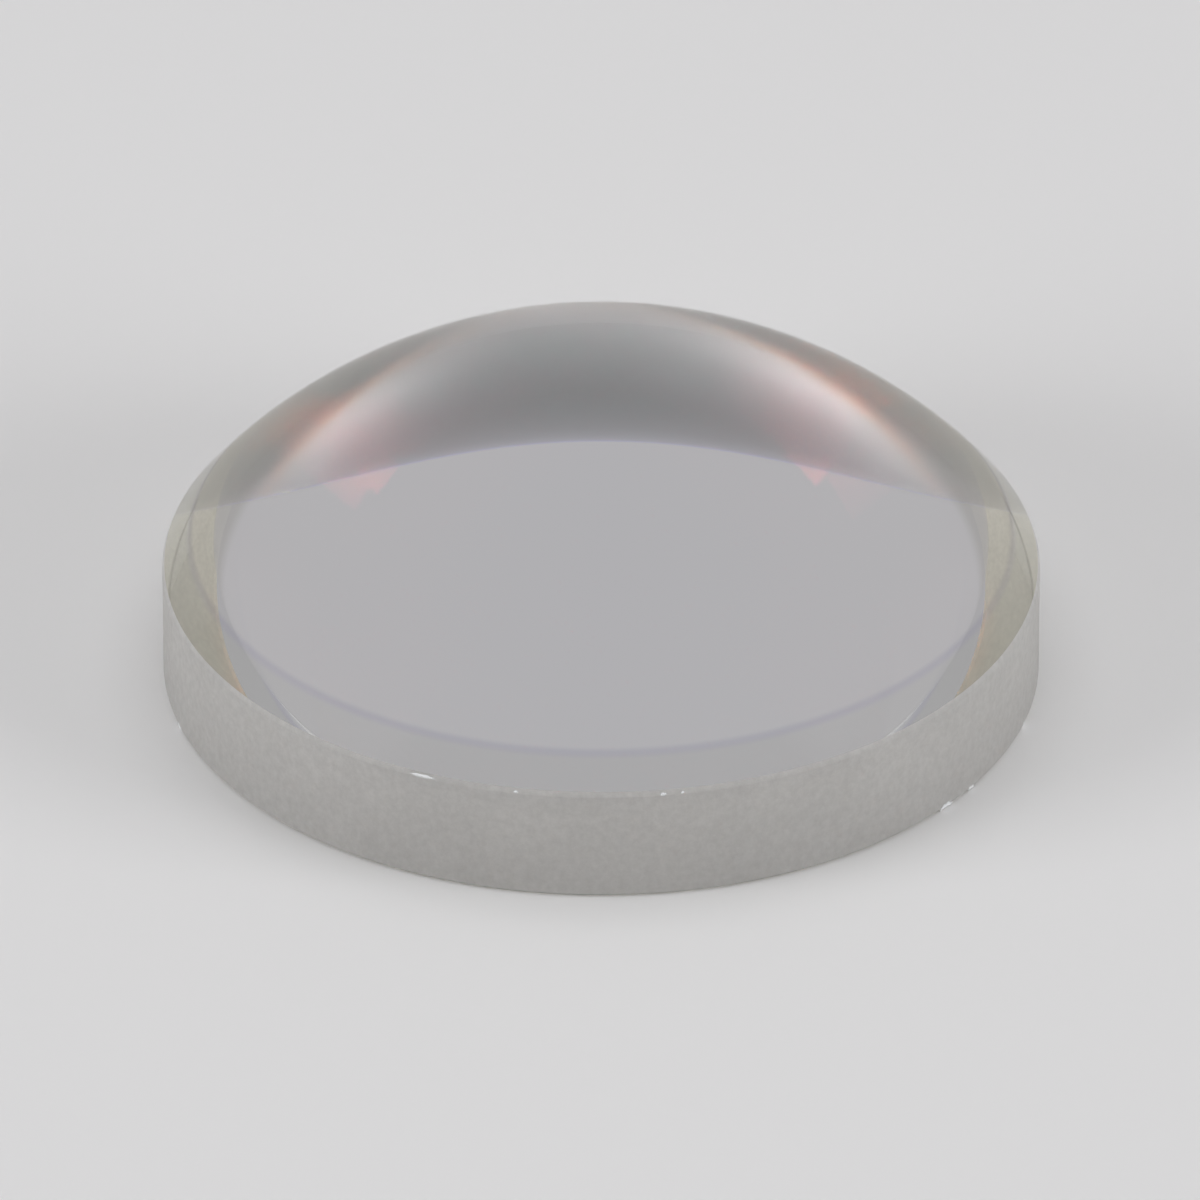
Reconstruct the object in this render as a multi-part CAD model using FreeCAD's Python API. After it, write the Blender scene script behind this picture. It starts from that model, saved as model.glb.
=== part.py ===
"""An aspheric condenser lens: one solid of glass, flat on one side and domed on the other.

The dome is a surface of revolution with the usual even-order aspheric formula, polished.
Below it runs a short ground cylinder, the edge by which the lens is held, and the flat
face closes it. Both corners of the edge are broken by a narrow ground bevel.
The origin is the centre of the flat face, and +Z points to the dome's vertex. Millimetres.
"""
import FreeCAD, Part
import math
import os

# The ground edge
DIAMETER = 25.0
EDGE_THICKNESS = 3.36

# The polished dome: a conic with two even-order departures from it.
# Each departure is the height that its term adds at NORM_RADIUS from the axis.
VERTEX_RADIUS = 12.61
CONIC = -0.982
NORM_RADIUS = 12.5
FOURTH_ORDER_RISE = -1.50
SIXTH_ORDER_RISE = 1.56

# The bevels that break the edge's two corners
FLAT_BEVEL = 0.10
DOME_BEVEL_INSET = 0.06
DOME_BEVEL_DROP = 0.08

# How many stretches the dome's meridian is interpolated in
MERIDIAN_SPANS = 16


def dome_sag(radius):
    """How far the dome has dropped below its vertex at this distance from the axis."""
    bend = radius / VERTEX_RADIUS
    conic = radius * bend / (1 + math.sqrt(1 - (1 + CONIC) * bend**2))
    share = radius / NORM_RADIUS
    return conic + FOURTH_ORDER_RISE * share**4 + SIXTH_ORDER_RISE * share**6


def dome_slope(radius):
    """The dome's drop for each unit of radius, which is the formula's derivative."""
    bend = radius / VERTEX_RADIUS
    conic = bend / math.sqrt(1 - (1 + CONIC) * bend**2)
    share = radius / NORM_RADIUS
    return conic + (4 * FOURTH_ORDER_RISE * share**3 + 6 * SIXTH_ORDER_RISE * share**5) / NORM_RADIUS


def point(radius, height):
    return FreeCAD.Vector(radius, 0, height)


def dome_meridian(vertex_height, rim_radius):
    """The dome's outline from its vertex to where the bevel starts."""
    stations = [rim_radius * i / MERIDIAN_SPANS for i in range(MERIDIAN_SPANS + 1)]
    curve = Part.BSplineCurve()
    curve.interpolate(
        Points=[point(r, vertex_height - dome_sag(r)) for r in stations],
        InitialTangent=point(1, 0),
        FinalTangent=point(1, -dome_slope(rim_radius)),
    )
    return curve.toShape()


def condenser_lens():
    edge_radius = DIAMETER / 2
    vertex_height = EDGE_THICKNESS + dome_sag(edge_radius)
    rim_radius = edge_radius - DOME_BEVEL_INSET

    vertex = point(0, vertex_height)
    rim = point(rim_radius, vertex_height - dome_sag(rim_radius))
    edge_top = point(edge_radius, EDGE_THICKNESS - DOME_BEVEL_DROP)
    edge_bottom = point(edge_radius, FLAT_BEVEL)
    flat_rim = point(edge_radius - FLAT_BEVEL, 0)
    centre = point(0, 0)

    corners = [rim, edge_top, edge_bottom, flat_rim, centre, vertex]
    sides = [Part.makeLine(a, b) for a, b in zip(corners, corners[1:])]
    section = Part.Face(Part.Wire([dome_meridian(vertex_height, rim_radius)] + sides))
    return section.revolve(centre, FreeCAD.Vector(0, 0, 1), 360)


os.makedirs("parts", exist_ok=True)
lens = condenser_lens()
lens.exportStep("parts/condenser_lens.step")

print("solids", len(lens.Solids), "valid", lens.isValid())
print("box", lens.BoundBox)
print("volume mm3", round(lens.Volume, 2))
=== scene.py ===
import math

import bpy
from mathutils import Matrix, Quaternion, Vector


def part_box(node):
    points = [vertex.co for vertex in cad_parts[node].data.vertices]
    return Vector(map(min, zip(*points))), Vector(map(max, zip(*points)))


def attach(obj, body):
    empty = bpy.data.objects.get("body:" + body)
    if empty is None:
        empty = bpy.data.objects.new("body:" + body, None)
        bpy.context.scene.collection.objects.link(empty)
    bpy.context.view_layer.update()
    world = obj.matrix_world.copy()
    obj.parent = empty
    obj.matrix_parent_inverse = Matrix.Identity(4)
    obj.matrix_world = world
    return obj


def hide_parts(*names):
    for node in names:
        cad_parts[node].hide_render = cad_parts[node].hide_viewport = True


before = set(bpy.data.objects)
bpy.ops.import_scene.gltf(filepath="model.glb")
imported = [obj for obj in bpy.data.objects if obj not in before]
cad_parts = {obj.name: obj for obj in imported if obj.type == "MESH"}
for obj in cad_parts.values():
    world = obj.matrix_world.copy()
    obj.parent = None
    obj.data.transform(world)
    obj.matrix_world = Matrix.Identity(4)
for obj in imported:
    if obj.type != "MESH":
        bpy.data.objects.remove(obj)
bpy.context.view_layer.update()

MM = 0.001


# The lens: one disc of clear borosilicate glass, flat below and with an aspheric dome above.
# It is pressed, then the dome and the flat face are polished, and its round edge is left fine-ground.
# Nothing is fixed to it: a mount would grip it by the ground edge.
lens_low, lens_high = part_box("condenser_lens")
LENS_RADIUS = lens_high.x
LENS_HEIGHT = lens_high.z
EDGE_HEIGHT = 3.36 * MM
FLAT_BEVEL = 0.10 * MM
DOME_BEVEL_INSET = 0.06 * MM
DOME_BEVEL_DROP = 0.08 * MM
VERTEX_RADIUS = 12.61 * MM
CONIC = -0.982
FOURTH_ORDER_RISE = -1.50 * MM
SIXTH_ORDER_RISE = 1.56 * MM
PRESS_MARK_DEPTH = 0.007 * MM
PRESS_MARK_RADIUS = 0.9 * MM
PRESS_MARK_PITCH = 0.62 * MM
MARK_RINGS = 40
DOME_RINGS = 110
SEGMENTS = 540


def dome_sag(radius):
    """How far the dome lies below its top at this radius."""
    bend = radius / VERTEX_RADIUS
    share = radius / LENS_RADIUS
    conic_part = radius * bend / (1 + math.sqrt(1 - (1 + CONIC) * bend * bend))
    return conic_part + FOURTH_ORDER_RISE * share ** 4 + SIXTH_ORDER_RISE * share ** 6


def press_mark(radius):
    """How deep the faint rings are that the press leaves round the dome's top."""
    wave = 1 - math.cos(2 * math.pi * radius / PRESS_MARK_PITCH)
    return PRESS_MARK_DEPTH * math.exp(-(radius / PRESS_MARK_RADIUS) ** 2) * wave / 2


def lens_meridian():
    """Half of the section, from the top to the middle of the flat face: radius, height and finish."""
    dome_edge = LENS_RADIUS - DOME_BEVEL_INSET
    mark_edge = 2 * PRESS_MARK_RADIUS
    radii = [mark_edge * i / MARK_RINGS for i in range(MARK_RINGS)]
    radii += [mark_edge + (dome_edge - mark_edge) * i / DOME_RINGS for i in range(DOME_RINGS + 1)]
    points = [(radius, LENS_HEIGHT - dome_sag(radius) - press_mark(radius), "dome") for radius in radii]
    points[-1] = (*points[-1][:2], "edge")
    points += [(LENS_RADIUS, EDGE_HEIGHT - DOME_BEVEL_DROP, "edge"),
               (LENS_RADIUS, FLAT_BEVEL, "edge"),
               (LENS_RADIUS - FLAT_BEVEL, lens_low.z, "flat"),
               (0, lens_low.z, "flat")]
    return points


def revolved(name, meridian, finishes):
    """A closed mesh of the meridian turned about the axis, creased where its finish changes."""
    verts, rows = [], []
    for radius, height, _ in meridian:
        steps = SEGMENTS if radius else 1
        rows.append([len(verts) + j for j in range(steps)])
        turns = [2 * math.pi * j / steps for j in range(steps)]
        verts += [(radius * math.cos(turn), radius * math.sin(turn), height) for turn in turns]
    faces, slots = [], []
    for upper, lower, (_, _, finish) in zip(rows, rows[1:], meridian):
        for j in range(SEGMENTS):
            k = (j + 1) % SEGMENTS
            corners = [upper[j % len(upper)], lower[j % len(lower)],
                       lower[k % len(lower)], upper[k % len(upper)]]
            faces.append(list(dict.fromkeys(corners)))
            slots.append(finishes.index(finish))
    mesh = bpy.data.meshes.new(name)
    mesh.from_pydata(verts, [], faces)
    mesh.polygons.foreach_set("material_index", slots)
    mesh.polygons.foreach_set("use_smooth", [True] * len(faces))
    creased = {}
    for index, row in enumerate(rows):
        if len(row) > 1 and meridian[index][2] != "dome":
            creased.update(dict.fromkeys(row, index))
    sharp = [a in creased and creased[a] == creased.get(b)
             for a, b in (edge.vertices for edge in mesh.edges)]
    mesh.attributes.new("sharp_edge", "BOOLEAN", "EDGE").data.foreach_set("value", sharp)
    mesh.update()
    return mesh


lens_mesh = revolved("condenser_lens_body", lens_meridian(), ["dome", "edge", "flat"])
lens = bpy.data.objects.new("condenser_lens_body", lens_mesh)
bpy.context.scene.collection.objects.link(lens)


def linear(code):
    """An sRGB hex colour as linear red, green, blue and 1."""
    shares = [int(code[i:i + 2], 16) / 255 for i in (1, 3, 5)]
    return (*[s / 12.92 if s <= 0.04045 else ((s + 0.055) / 1.055) ** 2.4 for s in shares], 1)


def add(tree, kind, inputs=None, stops=(), **settings):
    """One node with its settings; an input is a value, a node or a node with its output's name.
    Stops give a ramp its colours, each as a place from 0 to 1 and a hex colour."""
    node = tree.nodes.new("ShaderNode" + kind)
    for name, value in settings.items():
        setattr(node, name, value)
    for _ in stops[2:]:
        node.color_ramp.elements.new(0.5)
    for index, (position, code) in enumerate(stops):
        node.color_ramp.elements[index].position = position
        node.color_ramp.elements[index].color = linear(code)
    for key, value in (inputs or {}).items():
        if isinstance(value, bpy.types.Node):
            tree.links.new(value.outputs[0], node.inputs[key])
        elif isinstance(value, tuple) and isinstance(value[0], bpy.types.Node):
            tree.links.new(value[0].outputs[value[1]], node.inputs[key])
        else:
            node.inputs[key].default_value = value
    return node


def material(name):
    """An empty node material with its tree, for one finish."""
    made = bpy.data.materials.new(name)
    made.use_nodes = True
    made.node_tree.nodes.clear()
    return made, made.node_tree


# Polished borosilicate under an antireflection coating: the dome is clear, and what little it
# mirrors is red, turning white where the light grazes it. The coating stops short of the rim,
# where the holder covered the glass, and ends in a faint line.
GLASS_IOR = 1.494
COATING_RADIUS = 11.72 * MM
COATING_FADE = 0.05 * MM
COATING_LINE = 0.14 * MM
COATING_TINTS = [(0.045, "#903442"), (0.11, "#a0948e"), (0.22, "#a4a09c"), (0.50, "#b0aeac"),
                 (0.80, "#e0e0e0"), (1.0, "#ffffff")]

coated_glass, tree = material("coated borosilicate, polished")
place = add(tree, "TexCoord")
flat_place = add(tree, "VectorMath", {0: (place, "Object"), 1: (1, 1, 0)}, operation="MULTIPLY")
radius = add(tree, "VectorMath", {0: flat_place}, operation="LENGTH")
fresnel = add(tree, "Fresnel", {"IOR": GLASS_IOR})
kept = add(tree, "ValToRGB", {0: fresnel}, COATING_TINTS)
coated_tint = add(tree, "Mix", {"Factor": 1.0, 6: kept, 7: fresnel}, data_type="RGBA",
                  blend_type="MULTIPLY")
bare = add(tree, "MapRange", {"Value": (radius, "Value"), "From Min": COATING_RADIUS,
                              "From Max": COATING_RADIUS + COATING_FADE})
mirror_tint = add(tree, "Mix", {"Factor": bare, 6: (coated_tint, 2), 7: fresnel}, data_type="RGBA")
through_tint = add(tree, "Invert", {"Color": (mirror_tint, 2)})
line_near = add(tree, "Math", {0: (radius, "Value"), 1: COATING_RADIUS}, operation="SUBTRACT")
line_far = add(tree, "Math", {0: line_near}, operation="ABSOLUTE")
line = add(tree, "MapRange", {"Value": line_far, "From Min": 0.0, "From Max": COATING_LINE, "To Min": 1.0,
                              "To Max": 0.0}, interpolation_type="SMOOTHSTEP")
margin = add(tree, "Mix", {"Factor": bare, 6: (1, 1, 1, 1), 7: linear("#f7f8f6")}, data_type="RGBA")
shaded = add(tree, "Mix", {"Factor": line, 6: (margin, 2), 7: linear("#f0f0f6")}, data_type="RGBA")
through = add(tree, "Mix", {"Factor": 1.0, 6: (through_tint, 0), 7: (shaded, 2)}, data_type="RGBA",
              blend_type="MULTIPLY")
bend = add(tree, "BsdfRefraction", {"Color": (through, 2), "IOR": GLASS_IOR, "Roughness": 0.0})
mirror = add(tree, "BsdfAnisotropic", {"Color": (mirror_tint, 2), "Roughness": 0.0})
both = add(tree, "AddShader", {0: bend, 1: mirror})
add(tree, "OutputMaterial", {"Surface": both})

# Fine-ground borosilicate: the edge and its bevels were cut with loose grit and scatter the light
# both ways, so they look grey and satin from outside and olive from inside. The outer grey is painted
# shade and light: darker towards the foot of the edge, and palest on the dome's bevel at the top as a
# painted glint. The grit's own pits are 0.03 mm across: they are drawn at 0.12 mm, as fine as the
# picture can show, over 1.5 mm clouds.
GRAIN = 0.12 * MM
CLOUD = 1.5 * MM
SHARE_LET_IN = 0.7
# Painted shade and glint: the outer grey darkens towards the foot of the edge and is palest on the dome's
# bevel at its top.
OUTER_GREYS_PAINTED_SHADE_AND_GLINT = [(0.0, "#ceced0"), (0.5, "#d7d7d9"), (0.97, "#e2e2e4"), (1.0, "#e8e8ea")]
ground_glass, tree = material("borosilicate, fine-ground")
place = add(tree, "TexCoord")
axes = add(tree, "SeparateXYZ", {0: (place, "Object")})
rise = add(tree, "MapRange", {"Value": (axes, "Z"), "From Min": 0.0, "From Max": EDGE_HEIGHT})
# The outer grey by height: painted shade low down, a painted glint on the top bevel; it carries into the
# grained colour below.
outer_painted_shade_and_glint = add(tree, "ValToRGB", {0: rise}, OUTER_GREYS_PAINTED_SHADE_AND_GLINT)
side = add(tree, "NewGeometry")
albedo_with_painted_shade = add(tree, "Mix", {"Factor": (side, "Backfacing"), 6: outer_painted_shade_and_glint, 7: linear("#d6d3c7")},
             data_type="RGBA")
grain = add(tree, "TexNoise", {"Vector": (place, "Object"), "Scale": 1 / (2 * GRAIN), "Detail": 3.0,
                               "Roughness": 0.7})
cloud = add(tree, "TexNoise", {"Vector": (place, "Object"), "Scale": 1 / (2 * CLOUD), "Detail": 1.0})
shade = add(tree, "MapRange", {"Value": grain, "From Min": 0.3, "From Max": 0.7, "To Min": 0.92,
                               "To Max": 1.04})
drift = add(tree, "MapRange", {"Value": cloud, "From Min": 0.3, "From Max": 0.7, "To Min": 0.98,
                               "To Max": 1.02})
frost = add(tree, "Math", {0: shade, 1: drift}, operation="MULTIPLY")
grainy_with_painted_shade = add(tree, "Mix", {"Factor": 1.0, 6: (albedo_with_painted_shade, 2), 7: frost}, data_type="RGBA",
             blend_type="MULTIPLY")
scatter_out = add(tree, "BsdfDiffuse", {"Color": (grainy_with_painted_shade, 2)})
scatter_in = add(tree, "BsdfTranslucent", {"Color": (grainy_with_painted_shade, 2)})
both = add(tree, "MixShader", {0: SHARE_LET_IN, 1: scatter_out, 2: scatter_in})
add(tree, "OutputMaterial", {"Surface": both})

# Polished, uncoated borosilicate: the flat face mirrors all light that meets it steeply from
# inside. Blue light is turned back first, so the edge of that mirror is a blue-violet line.
MIRROR_IORS = (1.4940, 1.4940, 1.4965)
bare_glass, tree = material("borosilicate, polished")
by_colour = [add(tree, "Fresnel", {"IOR": ior}) for ior in MIRROR_IORS]
mirror_tint = add(tree, "CombineColor", dict(enumerate(by_colour)))
through_tint = add(tree, "Invert", {"Color": mirror_tint})
bend = add(tree, "BsdfRefraction", {"Color": through_tint, "IOR": GLASS_IOR, "Roughness": 0.0})
mirror = add(tree, "BsdfAnisotropic", {"Color": mirror_tint, "Roughness": 0.0})
both = add(tree, "AddShader", {0: bend, 1: mirror})
add(tree, "OutputMaterial", {"Surface": both})

for finish in (coated_glass, ground_glass, bare_glass):
    lens_mesh.materials.append(finish)
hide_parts("condenser_lens")
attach(lens, "root")


# Small chips along both corners of the edge, where the glass has flaked: fresh breaks that catch
# the light. Each is a shallow facet in the corner: turn in degrees, height, length and depth in mm.
CHIPS = [(196.6, 0.05, 0.42, 0.10),
         (-16.2, 0.05, 0.50, 0.11),
         (-33.2, 0.05, 0.34, 0.09),
         (-38.8, 0.05, 0.60, 0.13),
         (-82.0, 3.33, 0.20, 0.05),
         (-79.5, 3.34, 0.12, 0.04),
         (-113.5, 3.35, 0.80, 0.05),
         (-101.0, 3.34, 0.16, 0.04)]
CHIP_STEPS = 12
CHIP_LIFT = 0.006 * MM
CHIP_SINK = 0.4
CHIP_REACH = 0.05 * MM
CHIP_WAVE = 0.25
CHIP_WAVES = 9
fresh_break, tree = material("borosilicate, fresh break")
shader = add(tree, "BsdfPrincipled", {"Base Color": linear("#d8dadc"), "Roughness": 0.45})
add(tree, "OutputMaterial", {"Surface": shader})


def chip_mesh(turn, height, length, depth):
    """A flake bent round the corner of the edge, wide in the middle and pointed at both ends."""
    verts, rows, faces = [], [], []
    for i in range(CHIP_STEPS + 1):
        share = 2 * i / CHIP_STEPS - 1
        angle = math.radians(turn) + share * length * MM / 2 / LENS_RADIUS
        spread = depth * MM * (1 - share * share) * (1 + CHIP_WAVE * math.sin(CHIP_WAVES * share + turn))
        outward = -1 if height * MM > EDGE_HEIGHT / 2 else 1
        section = [(LENS_RADIUS + CHIP_LIFT, height * MM + outward * spread),
                   (LENS_RADIUS + CHIP_LIFT, height * MM),
                   (LENS_RADIUS + CHIP_LIFT - CHIP_SINK * spread,
                    height * MM - outward * min(spread, CHIP_REACH))]
        corners = section if 0 < i < CHIP_STEPS else section[1:2]
        rows.append([len(verts) + min(j, len(corners) - 1) for j in range(len(section))])
        verts += [(radius * math.cos(angle), radius * math.sin(angle), rise) for radius, rise in corners]
    for near, far in zip(rows, rows[1:]):
        for j in range(len(near) - 1):
            faces.append(list(dict.fromkeys([near[j], far[j], far[j + 1], near[j + 1]])))
    mesh = bpy.data.meshes.new("chip")
    mesh.from_pydata(verts, [], faces)
    mesh.materials.append(fresh_break)
    return mesh


for number, chip in enumerate(CHIPS):
    flake = bpy.data.objects.new("edge_chip_%d" % (number + 1), chip_mesh(*chip))
    bpy.context.scene.collection.objects.link(flake)
    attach(flake, "root")


# The floor: a plain pale sheet of matt card that the lens stands on.
# A hair of air lies between them, so that the flat face still mirrors from inside.
FLOOR_GAP = 0.02 * MM
FLOOR_HALF = 2.0
floor_mesh = bpy.data.meshes.new("floor")
floor_mesh.from_pydata([(x * FLOOR_HALF, y * FLOOR_HALF, lens_low.z - FLOOR_GAP)
                        for x, y in ((-1, -1), (1, -1), (1, 1), (-1, 1))], [], [(0, 1, 2, 3)])
floor = bpy.data.objects.new("floor", floor_mesh)
bpy.context.scene.collection.objects.link(floor)
card, tree = material("matt card")
shader = add(tree, "BsdfPrincipled", {"Base Color": linear("#ececec"), "Roughness": 0.9})
add(tree, "OutputMaterial", {"Surface": shader})
floor_mesh.materials.append(card)


# The room: pale grey walls behind the lens and at its sides, which its flat face mirrors to the
# camera, and dimmer air above and behind the camera.
ROOM_TURNS = [(0, "#b1afb2"), (54, "#b3b1b3"), (58, "#a5a3a2"), (74, "#a5a3a2"), (82, "#b1afb2"),
              (112, "#b1afb3"), (124, "#606060"), (180, "#606060")]
CEILING_STARTS = 0.80
CEILING_FULL = 0.95
world = bpy.data.worlds.new("room")
world.use_nodes = True
tree = world.node_tree
tree.nodes.clear()
direction = add(tree, "TexCoord")
axes = add(tree, "SeparateXYZ", {0: (direction, "Generated")})
turn = add(tree, "Math", {0: (axes, "X"), 1: (axes, "Y")}, operation="ARCTAN2")
turn_size = add(tree, "Math", {0: turn}, operation="ABSOLUTE")
share = add(tree, "Math", {0: turn_size, 1: math.pi}, operation="DIVIDE")
walls = add(tree, "ValToRGB", {0: share}, [(degrees / 180, code) for degrees, code in ROOM_TURNS])
above = add(tree, "MapRange", {"Value": (axes, "Z"), "From Min": CEILING_STARTS,
                               "From Max": CEILING_FULL}, interpolation_type="SMOOTHSTEP")
colour = add(tree, "Mix", {"Factor": above, 6: walls, 7: linear("#595959")}, data_type="RGBA")
light = add(tree, "Background", {"Color": (colour, 2)})
add(tree, "OutputWorld", {"Surface": light})
bpy.context.scene.world = world


# Soft light: two low softboxes in front, left and right, each with a smaller one beside it. The
# dome gathers their light on the floor card and the ground edge, and real glass parts its colours
# there. The renderer bends all colours alike, so the gathered light leaves each box already
# parted, orange from its foot and red from its head, while the box itself is white in the glass.
LAMP_DISTANCE = 0.5


def softbox(name, turns, rises, strength, bands, ends=(1, 1), roll=0, seen="#ffffff"):
    """A softbox between two turns from straight behind and two rises, in degrees, leaning by its roll.
    Its bands colour the gathered light, in degrees from its foot. Its ends are its strengths at its
    larger and smaller turn, and seen is its own tone in the glass."""
    stops = [(min(1, degrees / (rises[1] - rises[0])), code) for degrees, code in bands]
    turn, rise = math.radians(sum(turns) / 2), math.radians(sum(rises) / 2)
    lamp = bpy.data.lights.new(name, "AREA")
    lamp.shape = "RECTANGLE"
    lamp.size = 2 * LAMP_DISTANCE * math.tan(math.radians(turns[1] - turns[0]) / 2) * math.cos(rise)
    lamp.size_y = 2 * LAMP_DISTANCE * math.tan(math.radians(rises[1] - rises[0]) / 2)
    lamp.energy = strength * math.pi * lamp.size * lamp.size_y
    lamp.use_nodes = True
    tree = lamp.node_tree
    tree.nodes.clear()
    place = add(tree, "NewGeometry")
    axes = add(tree, "SeparateXYZ", {0: (place, "Parametric")})
    across = add(tree, "MapRange", {"Value": (axes, "X"), "To Min": ends[0], "To Max": ends[1]})
    path = add(tree, "LightPath")
    gathered = add(tree, "Math", {0: (path, "Diffuse Depth"), 1: 0.5}, operation="GREATER_THAN")
    fringe = add(tree, "ValToRGB", {0: (axes, "Y")}, stops)
    tone = add(tree, "Mix", {"Factor": gathered, 6: linear(seen), 7: fringe}, data_type="RGBA")
    glow = add(tree, "Emission", {"Color": (tone, 2), "Strength": across})
    add(tree, "OutputLight", {"Surface": glow})
    obj = bpy.data.objects.new(name, lamp)
    bpy.context.scene.collection.objects.link(obj)
    toward = Vector((math.sin(turn) * math.cos(rise), math.cos(turn) * math.cos(rise), math.sin(rise)))
    obj.location = toward * LAMP_DISTANCE
    facing = (-toward).to_track_quat("-Z", "Y") @ Quaternion((0, 0, 1), math.radians(roll))
    obj.rotation_euler = facing.to_euler()
    obj.visible_diffuse = False
    return obj


BANDS = [(0, "#5c3414"), (5, "#f08030"), (9, "#ff9030"), (12.5, "#d09c70"), (16, "#d4ccc4"),
         (20, "#f8f8f8"), (24.5, "#f8f8f8"), (26, "#c86070"), (27, "#a03444"), (29, "#700010")]
softbox("softbox_right", (137.5, 144), (5, 33), 22.5, BANDS, (0.35, 1), 17, "#b8b8b8")
softbox("softbox_left", (-160.5, -140.5), (4, 31), 16.5, BANDS, (1, 0.2), -17, "#d8d8d8")
softbox("side_softbox_right", (131.5, 136.5), (4.5, 33), 17.0, BANDS, (1, 0.4), 17, "#b8b8b8")
softbox("side_softbox_left", (-138.5, -129.5), (4, 33), 6.0, BANDS, (0.2, 1), -17, "#d8d8d8")
softbox("front_softbox", (168, 192), (27, 34), 1.6, [(0, "#50e8e0"), (7, "#50e8e0")], seen="#000000")


def fill(name, turn, rise, size, energy):
    """A neutral lamp for the floor and the ground edge alone, which the glass neither shows nor bends."""
    lamp = bpy.data.lights.new(name, "AREA")
    lamp.shape = "SQUARE"
    lamp.size = size
    lamp.energy = energy
    obj = bpy.data.objects.new(name, lamp)
    bpy.context.scene.collection.objects.link(obj)
    turn, rise = math.radians(turn), math.radians(rise)
    toward = Vector((math.sin(turn) * math.cos(rise), math.cos(turn) * math.cos(rise), math.sin(rise)))
    obj.location = toward
    obj.rotation_euler = (-toward).to_track_quat("-Z", "Y").to_euler()
    obj.visible_transmission = False
    obj.visible_glossy = False
    return obj


fill("overhead_panel", 0, 90, 1.2, 4.0)
fill("fill_right", 112, 12, 0.6, 6.8)
fill("fill_left", -112, 12, 0.6, 6.8)


# The camera stands in front and looks down on the lens at the photograph's angle.
CAMERA_RISE = math.radians(31.59)
CAMERA_DISTANCE = 0.552
PICTURE = 1200
LENS_PIXELS = 876.18
CENTRE_PIXEL = (601.09, 612.13)
pixel = 2 * LENS_RADIUS / LENS_PIXELS
camera = bpy.data.cameras.new("camera")
camera.sensor_width = 36
camera.lens = camera.sensor_width * CAMERA_DISTANCE / (PICTURE * pixel)
camera.clip_start = 0.01
camera_obj = bpy.data.objects.new("camera", camera)
bpy.context.scene.collection.objects.link(camera_obj)
back = Vector((0, -math.cos(CAMERA_RISE), math.sin(CAMERA_RISE)))
up = Vector((0, math.sin(CAMERA_RISE), math.cos(CAMERA_RISE)))
aim = Vector((0, 0, EDGE_HEIGHT / 2)) + up * (CENTRE_PIXEL[1] - PICTURE / 2) * pixel
aim.x -= (CENTRE_PIXEL[0] - PICTURE / 2) * pixel
camera_obj.location = aim + back * CAMERA_DISTANCE
camera_obj.rotation_euler = (-back).to_track_quat("-Z", "Y").to_euler()
scene = bpy.context.scene
scene.camera = camera_obj
scene.view_settings.view_transform = "Standard"
scene.cycles.blur_glossy = 0
scene.cycles.sample_clamp_indirect = 0
